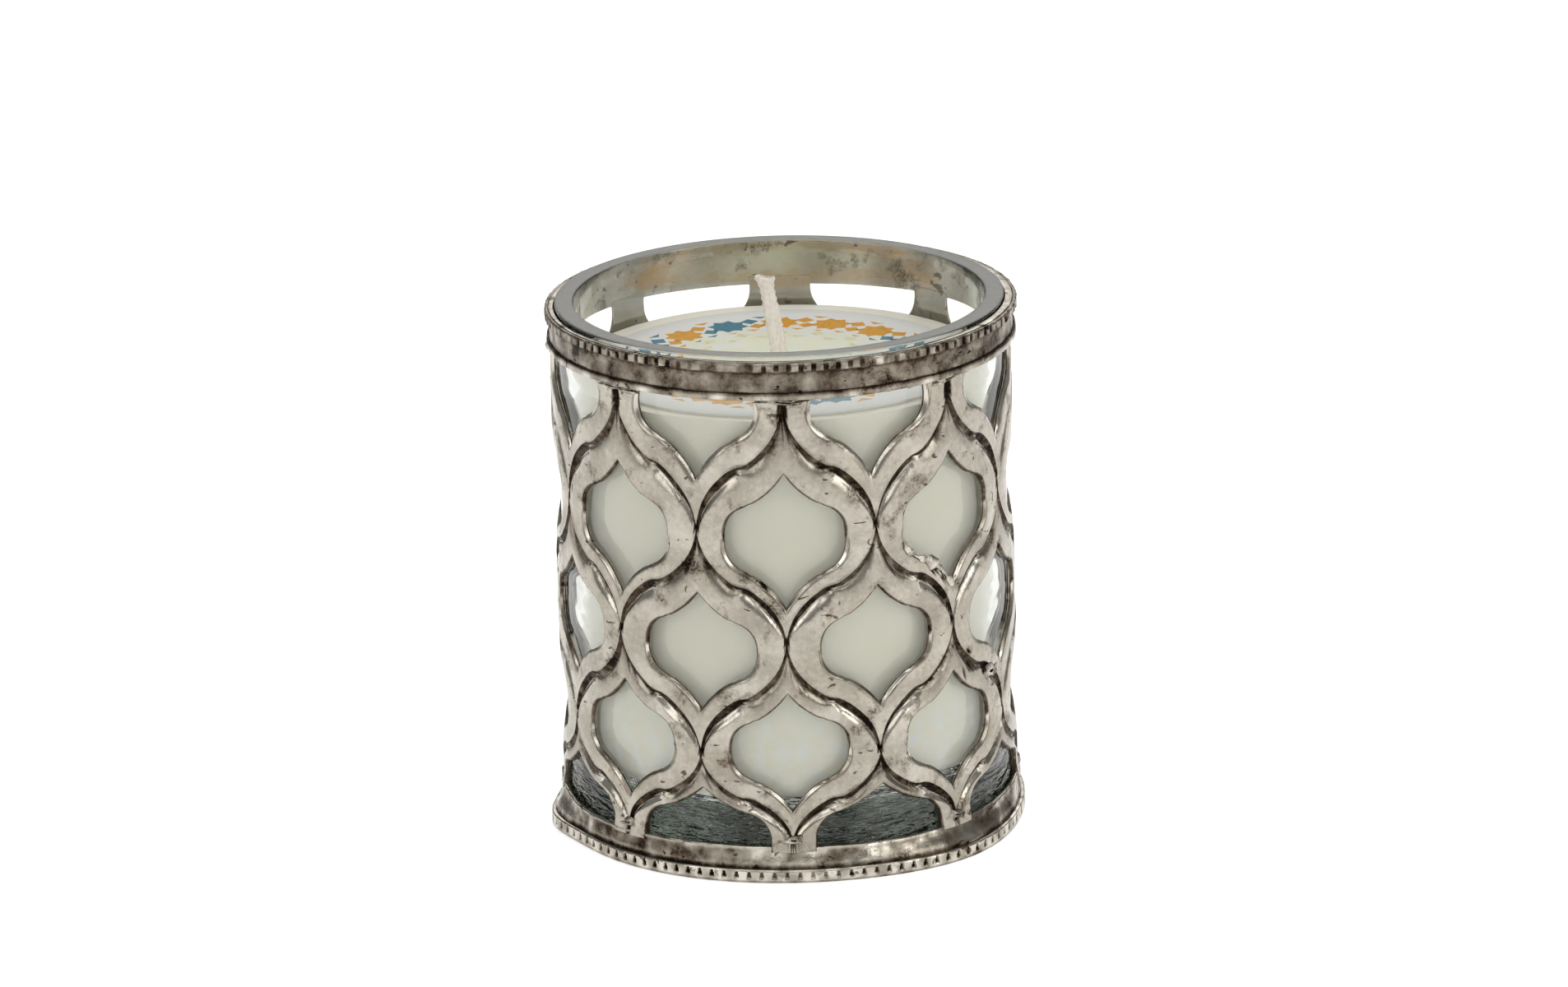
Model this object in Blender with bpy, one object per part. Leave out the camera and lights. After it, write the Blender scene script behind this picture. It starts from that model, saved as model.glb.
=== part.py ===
"""Candle lamp: a wax-filled glass standing in a pierced metal sleeve.

Metres, +Z up. The origin is the centre of the foot, on the surface that the lamp stands on. -Y is the front.
The sleeve (pierced sheet, two bands, milled wires, solder) is one rigid body. The filled glass lifts out of
it, and the printed card disc lifts off the wax.
"""

import math

import bmesh
import bpy
from mathutils import Vector

MM = 0.001
STEPS = 48  # facets round a turned piece of the sleeve's size
GAP = 0.3 * MM  # between pieces that touch

# Driving dimensions
GLASS_R = 40.0 * MM
GLASS_WALL = 3.3 * MM
GLASS_FOOT_Z = 1.2 * MM
GLASS_FLOOR_Z = 13.5 * MM
GLASS_TOP_Z = 96.2 * MM
WAX_TOP_Z = 83.7 * MM
WICK_TOP_Z = 99.9 * MM
WICK_LEAN = 2.6 * MM
SHEET_R = 40.35 * MM  # inside of the pierced sheet and of the foot band
SHEET_THICK = 0.8 * MM
RIM_R = 40.75 * MM  # inside of the rim band, which stands a little wider than the sheet
RIM_THICK = 0.65 * MM
RIM_BAND_Z = (88.7 * MM, 95.6 * MM)
FOOT_BAND_Z = (0.0, 6.7 * MM)
FOOT_LIP_R = 35.0 * MM  # inner edge of the lip that the glass stands on
FOOT_LIP_HIGH = 0.9 * MM
MILLED_OUT_R = 42.4 * MM
MILLED_WIRE_Z = (93.4 * MM, 95.2 * MM)
PLAIN_OUT_R = 42.1 * MM
PLAIN_WIRE_Z = (88.8 * MM, 90.1 * MM)
FLANGE_HIGH = 2.5 * MM
FLANGE_SPREAD = 1.0 * MM  # hand bending left the flange this much further out at its sides than at its front

# Pattern: eight columns of ogee openings between ribbons that cross at these heights, the rim's first.
# Every second row of crossings, and of openings, stands half a column round.
COLUMNS = 8
COLUMN_ANGLE = 2 * math.pi / COLUMNS
CROSSINGS_Z = (87.8 * MM, 64.9 * MM, 44.2 * MM, 23.5 * MM, 7.7 * MM)
OPENING_HALF_WIDTH = 10.7 * MM
# upper point, widest place and lower point of each full row of openings
FULL_ROWS_Z = (
    (75.1 * MM, 63.2 * MM, 50.9 * MM),
    (53.6 * MM, 42.7 * MM, 31.3 * MM),
    (34.5 * MM, 24.0 * MM, 13.4 * MM),
)
# the half openings that the rim and the foot bands close: point, widest place and half width there
RIM_ROW = (73.8 * MM, 86.2 * MM, 11.4 * MM)
FOOT_ROW = (16.8 * MM, 9.2 * MM, 12.2 * MM)
ARC_STEPS = 3  # straight stretches in each arc of an opening's outline
# an opening's two arcs meet at these shares of its half width and rise, and bulge by these shares of its rise
KNEE_WIDTH = 0.61
KNEE_RISE = 0.50
HOLLOW_BULGE = 0.055
FULL_BULGE = -0.12


def clear_scene():
    for obj in list(bpy.data.objects):
        bpy.data.objects.remove(obj)


def material(name, color, roughness, metallic=0.0, transmission=0.0):
    made = bpy.data.materials.new(name)
    made.use_nodes = True
    shader = made.node_tree.nodes["Principled BSDF"]
    shader.inputs["Base Color"].default_value = (*color, 1.0)
    shader.inputs["Roughness"].default_value = roughness
    shader.inputs["Metallic"].default_value = metallic
    shader.inputs["Transmission Weight"].default_value = transmission
    return made


def object_from(name, mesh_builder, finish):
    """A named object from a bmesh, with its normals pointing out and its material set."""
    bmesh.ops.recalc_face_normals(mesh_builder, faces=mesh_builder.faces)
    mesh = bpy.data.meshes.new(name)
    mesh_builder.to_mesh(mesh)
    mesh_builder.free()
    mesh.shade_smooth()
    mesh.set_sharp_from_angle(angle=math.radians(35))
    mesh.materials.append(finish)
    obj = bpy.data.objects.new(name, mesh)
    bpy.context.scene.collection.objects.link(obj)
    return obj


def turned(name, profile, finish, ring=True):
    """Spins (radius, height) points about Z. A ring's profile is closed, any other ends on the axis."""
    shape = bmesh.new()
    verts = [shape.verts.new((radius, 0.0, height)) for radius, height in profile]
    pairs = list(zip(verts, verts[1:])) + ([(verts[-1], verts[0])] if ring else [])
    edges = [shape.edges.new(pair) for pair in pairs]
    bmesh.ops.spin(
        shape, geom=verts + edges, cent=(0, 0, 0), axis=(0, 0, 1),
        angle=2 * math.pi, steps=STEPS, use_merge=True,
    )
    bmesh.ops.remove_doubles(shape, verts=shape.verts, dist=1e-7)
    return object_from(name, shape, finish)


def rectangle(inner, outer, low, high):
    return [(inner, low), (outer, low), (outer, high), (inner, high)]


def arc(start, end, bulge):
    """Points from start up to, but not including, end. The curve stands bulge to the left of the chord."""
    a, b = Vector(start), Vector(end)
    chord = b - a
    left = Vector((-chord.y, chord.x)).normalized()
    shares = [step / ARC_STEPS for step in range(ARC_STEPS)]
    return [a + chord * share + left * bulge * 4 * share * (1 - share) for share in shares]


def opening_quarter(point_z, level_z, half_width):
    """A quarter of an opening's outline, from its point to its widest place: hollow, then full."""
    rise = level_z - point_z
    point, side = (0.0, point_z), (half_width, level_z)
    knee = (KNEE_WIDTH * half_width, point_z + KNEE_RISE * rise)
    return arc(point, knee, HOLLOW_BULGE * rise) + arc(knee, side, FULL_BULGE * rise) + [Vector(side)]


def ribbon_quarter(point_z, level_z):
    """The line between two ribbons, from one crossing to the next: an S that is upright at both ends."""
    steps = 2 * ARC_STEPS
    reach = COLUMN_ANGLE * SHEET_R / 2
    shares = [step / steps for step in range(steps + 1)]
    return [
        Vector((reach * (1 - math.cos(math.pi * share)) / 2, point_z + share * (level_z - point_z)))
        for share in shares
    ]


def add_strip(shape, outer, inner, angle):
    """Both mirror halves of the sheet between a ribbon line and an opening's outline, rolled round Z."""
    for side in (-1, 1):
        rows = []
        for line in (outer, inner):
            places = []
            for point in line:
                turn = angle + side * point.x / SHEET_R
                places.append((SHEET_R * math.sin(turn), -SHEET_R * math.cos(turn), point.y))
            rows.append([shape.verts.new(place) for place in places])
        for k in range(len(outer) - 1):
            shape.faces.new((rows[0][k], rows[0][k + 1], rows[1][k + 1], rows[1][k]))


def make_sheet(finish):
    """The pierced sheet, rolled to a tube that ends against both bands."""
    low, high = FOOT_BAND_Z[1] + GAP, RIM_BAND_Z[0] - GAP
    shape = bmesh.new()
    for column in range(COLUMNS):
        for row, (upper_z, level_z, lower_z) in enumerate(FULL_ROWS_Z):
            angle = (column + row % 2 / 2) * COLUMN_ANGLE
            top, sides, bottom = CROSSINGS_Z[row:row + 3]
            for crossing, point in ((top, upper_z), (bottom, lower_z)):
                outline = opening_quarter(point, level_z, OPENING_HALF_WIDTH)
                add_strip(shape, ribbon_quarter(crossing, sides), outline, angle)
        half_turn = (column + 0.5) * COLUMN_ANGLE
        ends = (
            (RIM_ROW, CROSSINGS_Z[1], CROSSINGS_Z[0], high),
            (FOOT_ROW, CROSSINGS_Z[3], CROSSINGS_Z[4], low),
        )
        for opening, crossing, sides, edge in ends:
            outer, inner = ribbon_quarter(crossing, sides), opening_quarter(*opening)
            for line in (outer, inner):
                line.append(Vector((line[-1].x, edge)))
            add_strip(shape, outer, inner, half_turn)
    bmesh.ops.remove_doubles(shape, verts=shape.verts, dist=1e-6)
    made = bmesh.ops.extrude_face_region(shape, geom=shape.faces[:], use_keep_orig=True)["geom"]
    for vert in made:
        if isinstance(vert, bmesh.types.BMVert):
            vert.co.xy *= (SHEET_R + SHEET_THICK) / SHEET_R
    object_from("openwork_sheet", shape, finish)


def make_bands(finish):
    """The rim band with its two wires, and the foot band with its inner lip and its milled flange."""
    rim_out = RIM_R + RIM_THICK
    turned("rim_band", rectangle(RIM_R, rim_out, *RIM_BAND_Z), finish)
    turned("rim_milled_wire", rectangle(rim_out + GAP, MILLED_OUT_R, *MILLED_WIRE_Z), finish)
    turned("rim_plain_wire", rectangle(rim_out + GAP, PLAIN_OUT_R, *PLAIN_WIRE_Z), finish)
    foot_out = SHEET_R + SHEET_THICK
    low, high = FOOT_BAND_Z
    foot = [
        (FOOT_LIP_R, low), (foot_out, low), (foot_out, high),
        (SHEET_R, high), (SHEET_R, FOOT_LIP_HIGH), (FOOT_LIP_R, FOOT_LIP_HIGH),
    ]
    turned("foot_band", foot, finish)
    flange_in = foot_out + GAP
    flange = turned("foot_milled_flange", rectangle(flange_in, MILLED_OUT_R, low, FLANGE_HIGH), finish)
    for vertex in flange.data.vertices:
        if vertex.co.xy.length > flange_in + GAP:
            vertex.co.x *= 1 + FLANGE_SPREAD / MILLED_OUT_R


def make_solder(name, angle, height, half_width, half_height, finish):
    """A low pad of solder over a joint, its back following the sheet and its front domed."""
    back, proud = SHEET_R + SHEET_THICK + GAP, 0.55 * MM
    edge_fall = 0.8  # the share of the dome that is gone at the pad's edge
    columns, rows = 4, 2
    shape = bmesh.new()

    def grid_point(i, j, face_radius, dome):
        u, v = 2 * i / columns - 1, 2 * j / rows - 1
        around = angle + u * half_width / back
        radius = face_radius + dome * (1 - edge_fall * u * u) * (1 - edge_fall * v * v)
        x, y = radius * math.sin(around), -radius * math.cos(around)
        return shape.verts.new((x, y, height + v * half_height))

    layers = [
        [[grid_point(i, j, back, dome) for i in range(columns + 1)] for j in range(rows + 1)]
        for dome in (0.0, proud)
    ]
    rim = [(i, 0) for i in range(columns)] + [(columns, j) for j in range(rows)]
    rim += [(columns - i, rows) for i in range(columns)] + [(0, rows - j) for j in range(rows)]
    for layer in layers:
        for j in range(rows):
            for i in range(columns):
                shape.faces.new((layer[j][i], layer[j][i + 1], layer[j + 1][i + 1], layer[j + 1][i]))
    for (i, j), (m, n) in zip(rim, rim[1:] + rim[:1]):
        shape.faces.new((layers[0][j][i], layers[0][n][m], layers[1][n][m], layers[1][j][i]))
    object_from(name, shape, finish)


def make_joints(finish):
    """Solder over each pair of struts at the rim and at the foot, and where the sheet's ends meet."""
    rim_joint_z, foot_joint_z = 87.4 * MM, 8.0 * MM
    for column in range(COLUMNS):
        angle = column * COLUMN_ANGLE
        make_solder(f"rim_solder_{column + 1}", angle, rim_joint_z, 4.0 * MM, 0.9 * MM, finish)
        make_solder(f"foot_solder_{column + 1}", angle, foot_joint_z, 3.2 * MM, 1.1 * MM, finish)
    make_solder("seam_solder_upper", math.radians(38), 54.6 * MM, 3.0 * MM, 1.6 * MM, finish)
    make_solder("seam_solder_lower", math.radians(64), 31.0 * MM, 2.4 * MM, 1.4 * MM, finish)


def make_glass(finish):
    """A thick-bottomed tumbler with a shallow punt, a round heel and a flat ground rim."""
    inner = GLASS_R - GLASS_WALL
    heel, fillet, ease = 1.5 * MM, 3.0 * MM, 0.3 * MM
    punt_r, punt_z = 30.0 * MM, GLASS_FOOT_Z + 0.8 * MM
    quarter = [math.radians(a) for a in (0, 30, 60, 90)]
    punt_slope = 2 * MM
    outline = [(0.0, punt_z), (punt_r - punt_slope, punt_z), (punt_r, GLASS_FOOT_Z)]
    outline += [
        (GLASS_R - heel + heel * math.sin(a), GLASS_FOOT_Z + heel - heel * math.cos(a)) for a in quarter
    ]
    outline += [(GLASS_R, GLASS_TOP_Z - ease), (GLASS_R - ease, GLASS_TOP_Z)]
    outline += [(inner + ease, GLASS_TOP_Z), (inner, GLASS_TOP_Z - ease)]
    outline += [
        (inner - fillet + fillet * math.cos(a), GLASS_FLOOR_Z + fillet - fillet * math.sin(a))
        for a in quarter
    ]
    outline.append((0.0, GLASS_FLOOR_Z))
    turned("glass_tumbler", outline, finish, ring=False)


def make_candle(wax, cotton, steel, foam):
    """The poured wax, cast round its wick, and under it the wick's metal foot on its pad."""
    wax_r = GLASS_R - GLASS_WALL - GAP
    wax_floor = GLASS_FLOOR_Z + GAP
    pad_r, pad_high = 6.5 * MM, 0.8 * MM
    foot_r, foot_high = 7.5 * MM, 0.5 * MM
    neck_in, neck_out, neck_high = 1.7 * MM, 2.3 * MM, 4.0 * MM
    pad_top = wax_floor + pad_high
    foot_low = pad_top + GAP
    neck_top = foot_low + foot_high + neck_high
    pad = rectangle(0.0, pad_r, wax_floor, pad_top)
    turned("sustainer_pad", pad, foam, ring=False)
    foot = [
        (neck_in, foot_low), (foot_r, foot_low), (foot_r, foot_low + foot_high),
        (neck_out, foot_low + foot_high), (neck_out, neck_top), (neck_in, neck_top),
    ]
    turned("wick_sustainer", foot, steel)
    ease, ease_middle = 3.0 * MM, 0.9 * MM
    hollow_r, hollow_top = foot_r + GAP, foot_low + foot_high + GAP
    bore_r, bore_low = 1.7 * MM, neck_top + GAP
    body = [
        (hollow_r, wax_floor), (wax_r - ease, wax_floor), (wax_r - ease_middle, wax_floor + ease_middle),
        (wax_r, wax_floor + ease), (wax_r, WAX_TOP_Z), (bore_r, WAX_TOP_Z),
        (bore_r, bore_low), (neck_out + GAP, bore_low), (neck_out + GAP, hollow_top), (hollow_r, hollow_top),
    ]
    turned("wax_fill", body, wax)
    make_wick(foot_low + GAP, cotton)


def make_wick(low, finish):
    """A flat braided wick: straight up through the wax, then leaning to the left above it."""
    half_wide, half_thick, sides = 1.3 * MM, 0.75 * MM, 12
    bend = 1.3  # above 1, the wick leans more towards its tip
    bare = WICK_TOP_Z - WAX_TOP_Z
    stations = [(0.0, low), (0.0, WAX_TOP_Z)]
    stations += [(-WICK_LEAN * share**bend, WAX_TOP_Z + share * bare) for share in (0.35, 0.7, 1.0)]
    turns = [2 * math.pi * k / sides for k in range(sides)]
    shape = bmesh.new()
    rings = []
    for x, z in stations:
        places = [(x + half_wide * math.cos(a), half_thick * math.sin(a), z) for a in turns]
        rings.append([shape.verts.new(place) for place in places])
    for lower, upper in zip(rings, rings[1:]):
        for k in range(sides):
            shape.faces.new((lower[k], lower[(k + 1) % sides], upper[(k + 1) % sides], upper[k]))
    shape.faces.new(rings[0])
    shape.faces.new(rings[-1])
    object_from("wick", shape, finish)


def make_disc(card):
    """The printed card that keeps dust off the wax, with a hole for the wick."""
    low = WAX_TOP_Z + GAP
    hole_r, disc_r, thick = 4.6 * MM, 34.6 * MM, 0.4 * MM
    turned("dust_disc", rectangle(hole_r, disc_r, low, low + thick), card)


def main():
    clear_scene()
    silver = material("old_silver", (0.62, 0.59, 0.54), 0.32, 1.0)
    solder = material("bright_solder", (0.74, 0.72, 0.69), 0.25, 1.0)
    glass = material("clear_glass", (0.86, 0.92, 0.89), 0.03, transmission=1.0)
    wax = material("ivory_wax", (0.87, 0.85, 0.74), 0.45)
    cotton = material("waxed_cotton", (0.88, 0.85, 0.79), 0.7)
    steel = material("tinned_steel", (0.66, 0.66, 0.66), 0.35, 1.0)
    foam = material("pad_foam", (0.9, 0.9, 0.88), 0.8)
    card = material("printed_card", (0.9, 0.9, 0.82), 0.6)
    make_sheet(silver)
    make_bands(silver)
    make_joints(solder)
    make_glass(glass)
    make_candle(wax, cotton, steel, foam)
    make_disc(card)


main()
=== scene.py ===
import math

import bmesh
import bpy
import numpy as np
from mathutils import Matrix, Vector


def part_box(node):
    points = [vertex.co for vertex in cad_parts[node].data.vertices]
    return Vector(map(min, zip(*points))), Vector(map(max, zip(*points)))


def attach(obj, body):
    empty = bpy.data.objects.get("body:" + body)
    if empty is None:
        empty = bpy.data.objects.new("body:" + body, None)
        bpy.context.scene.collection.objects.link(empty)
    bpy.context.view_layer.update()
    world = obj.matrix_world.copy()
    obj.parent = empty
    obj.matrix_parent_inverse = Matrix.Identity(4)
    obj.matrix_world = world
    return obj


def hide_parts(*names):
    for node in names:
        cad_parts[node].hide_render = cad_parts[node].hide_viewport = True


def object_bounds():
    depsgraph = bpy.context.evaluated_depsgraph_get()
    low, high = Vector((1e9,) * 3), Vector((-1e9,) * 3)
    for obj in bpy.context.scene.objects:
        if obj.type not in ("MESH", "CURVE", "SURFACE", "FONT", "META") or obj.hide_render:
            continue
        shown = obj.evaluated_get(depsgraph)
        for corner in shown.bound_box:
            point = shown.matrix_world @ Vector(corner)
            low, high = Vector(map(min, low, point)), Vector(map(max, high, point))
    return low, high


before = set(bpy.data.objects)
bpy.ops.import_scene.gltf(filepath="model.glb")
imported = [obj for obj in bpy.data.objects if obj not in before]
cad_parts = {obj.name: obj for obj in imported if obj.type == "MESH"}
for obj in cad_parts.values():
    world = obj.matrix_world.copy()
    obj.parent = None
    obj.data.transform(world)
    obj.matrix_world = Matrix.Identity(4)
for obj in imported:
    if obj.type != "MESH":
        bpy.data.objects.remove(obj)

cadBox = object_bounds()
mm = 0.001

# metres, degrees and millimetres of lens
camera = {
    "place": (0.0, -1.28, 0.456), "pitch": 17.23, "roll": -1.48, "lens": 171.55, "sensor": 36.0,
    "clip": (0.01, 50.0),
}
light = {
    "world": 0.22, "worldColor": (1.0, 0.985, 0.96), "lampColor": (1.0, 0.98, 0.95), "aim": (0, 0, 0.05),
    # name: place, size, watts
    "lamps": {
        "softTop": ((0.0, -0.1, 1.5), (1.4, 1.4), 8.2),
        "softLeft": ((-1.4, -1.3, 0.9), (1.2, 1.3), 8.2),
        "softRight": ((1.5, -1.1, 0.8), (1.1, 1.4), 11.0),
        "softFront": ((0.1, -2.0, 1.35), (1.5, 0.8), 6.0),
        "softBack": ((0.2, 1.6, 0.9), (1.8, 0.8), 7.2),
    },
}


def addCamera(spec):
    pitch, roll = math.radians(spec["pitch"]), math.radians(spec["roll"])
    forward = Vector((0, math.cos(pitch), -math.sin(pitch)))
    right = forward.cross(Vector((0, 0, 1))).normalized()
    up = right.cross(forward)
    tiltedRight = right * math.cos(roll) + up * math.sin(roll)
    tiltedUp = up * math.cos(roll) - right * math.sin(roll)
    lens = bpy.data.cameras.new("camera")
    lens.lens, lens.sensor_width = spec["lens"], spec["sensor"]
    lens.clip_start, lens.clip_end = spec["clip"]
    made = bpy.data.objects.new("camera", lens)
    turned = Matrix((tiltedRight, tiltedUp, -forward)).transposed().to_4x4()
    made.matrix_world = Matrix.Translation(spec["place"]) @ turned
    bpy.context.scene.collection.objects.link(made)
    bpy.context.scene.camera = made


def addLights(spec):
    world = bpy.data.worlds.new("studio")
    world.use_nodes = True
    sky = world.node_tree.nodes["Background"].inputs
    sky["Color"].default_value = (*spec["worldColor"], 1.0)
    sky["Strength"].default_value = spec["world"]
    bpy.context.scene.world = world
    aim = Vector(spec["aim"])
    for name, (place, size, watts) in spec["lamps"].items():
        lamp = bpy.data.lights.new(name, "AREA")
        lamp.shape, lamp.size, lamp.size_y, lamp.energy = "RECTANGLE", size[0], size[1], watts
        lamp.color = spec["lampColor"]
        made = bpy.data.objects.new(name, lamp)
        made.location = place
        made.rotation_euler = (aim - Vector(place)).to_track_quat("-Z", "Y").to_euler()
        bpy.context.scene.collection.objects.link(made)


# helpers for meshes

def gridFaces(rows, columns, rowsClosed=False, columnsClosed=False):
    # the quads of a grid of points counted row by row, joined round where a direction is closed
    i = np.arange(rows if rowsClosed else rows - 1)
    j = np.arange(columns if columnsClosed else columns - 1)
    i, j = np.meshgrid(i, j, indexing="ij")
    down, right = (i + 1) % rows, (j + 1) % columns
    corners = (i * columns + j, i * columns + right, down * columns + right, down * columns + j)
    return np.stack(corners, -1).reshape(-1, 4)


def weld(points, faces, size=2e-7):
    # points closer than size become one
    _, first, number = np.unique(np.round(points / size), axis=0, return_index=True, return_inverse=True)
    return points[first], number.reshape(-1)[faces], first


def addPiece(name, points, faces, materials, body, replaced, tone=None, fill=False, sharp=40):
    # a closed mesh from points and quads: welded, holes filled, faces turned outwards, then tied to its body
    points, faces, kept = weld(points, faces)
    mesh = bpy.data.meshes.new(name)
    mesh.vertices.add(len(points))
    mesh.vertices.foreach_set("co", points.astype(np.float32).ravel())
    mesh.loops.add(faces.size)
    mesh.loops.foreach_set("vertex_index", faces.astype(np.int32).ravel())
    mesh.polygons.add(len(faces))
    mesh.polygons.foreach_set("loop_start", np.arange(0, faces.size, 4, dtype=np.int32))
    mesh.update(calc_edges=True)
    if tone is not None:
        layer = mesh.attributes.new("patinaAndPaintedLight", "FLOAT", "POINT")
        layer.data.foreach_set("value", np.clip(tone.ravel()[kept], 0, 1).astype(np.float32))
    mesh.validate()
    return finishPiece(name, mesh, materials, body, replaced, fill, sharp)


def finishPiece(name, mesh, materials, body, replaced, fill=False, sharp=40):
    # cleans the mesh, shades it smooth between sharp edges, gives it materials and its body, and hides the
    # CAD parts it replaces
    work = bmesh.new()
    work.from_mesh(mesh)
    bmesh.ops.dissolve_degenerate(work, dist=1e-8, edges=work.edges)
    if fill:
        bmesh.ops.holes_fill(work, edges=work.edges, sides=0)
    bmesh.ops.recalc_face_normals(work, faces=work.faces)
    work.to_mesh(mesh)
    work.free()
    mesh.shade_smooth()
    mesh.set_sharp_from_angle(angle=math.radians(sharp))
    for finish in materials:
        mesh.materials.append(finish)
    made = bpy.data.objects.new(name, mesh)
    bpy.context.scene.collection.objects.link(made)
    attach(made, body)
    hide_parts(*replaced)
    return made


def onCylinder(radius, arc, height):
    # an arc length at the sheet's radius becomes an angle from the front, then a point at its own radius
    angle = arc / sheet["radius"]
    return np.stack([radius * np.sin(angle), -radius * np.cos(angle), height], -1)


def turnedGrid(profile, count):
    # each profile point, as radius and height, at count even angles: arrays of radius, height and angle
    angle = np.linspace(0, 2 * np.pi, count, endpoint=False)[None, :]
    radius = profile[:, :1] + 0 * angle
    height = profile[:, 1:] + 0 * angle
    return radius, height, angle + 0 * radius


def fromTurned(radius, height, angle, shift=0.0):
    # radius, height and angle from the front become points, moved sideways by shift
    points = np.stack([radius * np.sin(angle) + shift, -radius * np.cos(angle), height], -1)
    return points.reshape(-1, 3)


def ripple(angle, height, seed, size, terms=16):
    # a sum of cosine waves in random directions, each a whole number of waves round the axis: about -1 to 1
    dice = np.random.default_rng(seed)
    total = 0.0
    for _ in range(terms):
        way, length = dice.uniform(0, np.pi), size * dice.uniform(0.7, 1.6)
        around = np.round(2 * np.pi * sheet["radius"] / length * np.cos(way))
        upward = 2 * np.pi / length * np.sin(way)
        total = total + np.cos(around * angle + upward * height + dice.uniform(0, 2 * np.pi))
    return total / math.sqrt(terms)


def bell(x, spread):
    # 1 at 0, falling to 1/e at the spread: exp of minus x over spread, squared
    return np.exp(-(x / spread) ** 2)


def bumps(angle, places):
    # a sum of bell curves round the axis, from the middle in degrees, height and spread in degrees of each
    total = 0 * angle
    for middle, size, spread in places:
        gap = (angle - math.radians(middle) + np.pi) % (2 * np.pi) - np.pi
        total = total + size * bell(gap, math.radians(spread))
    return total


def smooth(x):
    # 0 below 0, 1 above 1, and 3x^2 - 2x^3 between
    x = np.clip(x, 0, 1)
    return x * x * (3 - 2 * x)


def roundedBox(inner, outer, low, high, corner, steps=4):
    # a closed rectangle profile whose four corners are quarter circles
    turn = np.linspace(0, np.pi / 2, steps)
    middles = ((outer - corner, high - corner), (inner + corner, high - corner),
               (inner + corner, low + corner), (outer - corner, low + corner))
    arcs = [
        np.stack([cx + corner * np.cos(turn + k * np.pi / 2), cz + corner * np.sin(turn + k * np.pi / 2)], -1)
        for k, (cx, cz) in enumerate(middles)
    ]
    return np.concatenate(arcs)


def refine(profile, step):
    # puts extra points on a closed profile's long sides, so that no side is longer than step
    after = np.roll(profile, -1, axis=0)
    pieces = [
        a + (b - a) * np.linspace(0, 1, max(1, int(np.hypot(*(b - a)) / step)), endpoint=False)[:, None]
        for a, b in zip(profile, after)
    ]
    return np.concatenate(pieces)


# helpers for materials

def startMaterial(name):
    made = bpy.data.materials.new(name)
    made.use_nodes = True
    nodes = made.node_tree.nodes
    return made, nodes, made.node_tree.links.new, nodes["Principled BSDF"]


def objectNoise(nodes, link, scale, detail=4.0, roughness=0.55, stretch=(1, 1, 1), distortion=0.0):
    # noise on Object coordinates, scale in waves per metre
    where = nodes.new("ShaderNodeTexCoord")
    placed = nodes.new("ShaderNodeMapping")
    placed.inputs["Scale"].default_value = stretch
    link(where.outputs["Object"], placed.inputs["Vector"])
    noise = nodes.new("ShaderNodeTexNoise")
    noise.inputs["Scale"].default_value = scale
    noise.inputs["Detail"].default_value = detail
    noise.inputs["Roughness"].default_value = roughness
    noise.inputs["Distortion"].default_value = distortion
    link(placed.outputs["Vector"], noise.inputs["Vector"])
    return noise.outputs["Fac"]


def ramp(nodes, link, source, stops):
    # a colour or grey level against the source's value
    made = nodes.new("ShaderNodeValToRGB")
    band = made.color_ramp
    while len(band.elements) < len(stops):
        band.elements.new(0.5)
    for element, (place, color) in zip(band.elements, stops):
        element.position = place
        element.color = (*color, 1.0) if isinstance(color, tuple) else (color, color, color, 1.0)
    link(source, made.inputs["Fac"])
    return made.outputs["Color"]


def maths(nodes, link, operation, first, second):
    # one Math node of two numbers or sockets
    made = nodes.new("ShaderNodeMath")
    made.operation = operation
    for socket, value in zip(made.inputs, (first, second)):
        if isinstance(value, (int, float)):
            socket.default_value = value
        else:
            link(value, socket)
    return made.outputs["Value"]


def mixColor(nodes, link, amount, first, second, blend="MIX"):
    made = nodes.new("ShaderNodeMix")
    made.data_type, made.blend_type = "RGBA", blend
    for key, value in (("Factor", amount), ("A", first), ("B", second)):
        socket = made.inputs[key]
        if isinstance(value, tuple):
            socket.default_value = (*value, 1.0)
        elif isinstance(value, (int, float)):
            socket.default_value = value
        else:
            link(value, socket)
    return made.outputs["Result"]


def bump(nodes, link, source, depth, before=None):
    # dents of the source's height times depth, in metres, on top of another bump where one is given
    made = nodes.new("ShaderNodeBump")
    made.inputs["Strength"].default_value = 1.0
    made.inputs["Distance"].default_value = depth
    link(source, made.inputs["Height"])
    if before is not None:
        link(before, made.inputs["Normal"])
    return made.outputs["Normal"]


def belowHeight(nodes, link, start, full):
    # 0 above the start height and 1 below the full one, in metres, from Object coordinates
    where = nodes.new("ShaderNodeTexCoord")
    split = nodes.new("ShaderNodeSeparateXYZ")
    link(where.outputs["Object"], split.inputs["Vector"])
    low = nodes.new("ShaderNodeMapRange")
    for key, value in (("From Min", start), ("From Max", full), ("To Min", 0.0), ("To Max", 1.0)):
        low.inputs[key].default_value = value
    link(split.outputs["Z"], low.inputs["Value"])
    return low.outputs["Result"]


def speckledMaterial(name, noise, stops, roughness, depth=0.0, **sockets):
    # colour from noise, an even roughness, bump where it has a depth, and other sockets by name
    made, nodes, link, shader = startMaterial(name)
    speckle = objectNoise(nodes, link, *noise)
    link(ramp(nodes, link, speckle, stops), shader.inputs["Base Color"])
    shader.inputs["Roughness"].default_value = roughness
    for key, value in sockets.items():
        shader.inputs[key.replace("_", " ")].default_value = value
    if depth:
        link(bump(nodes, link, speckle, depth), shader.inputs["Normal"])
    return made


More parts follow.
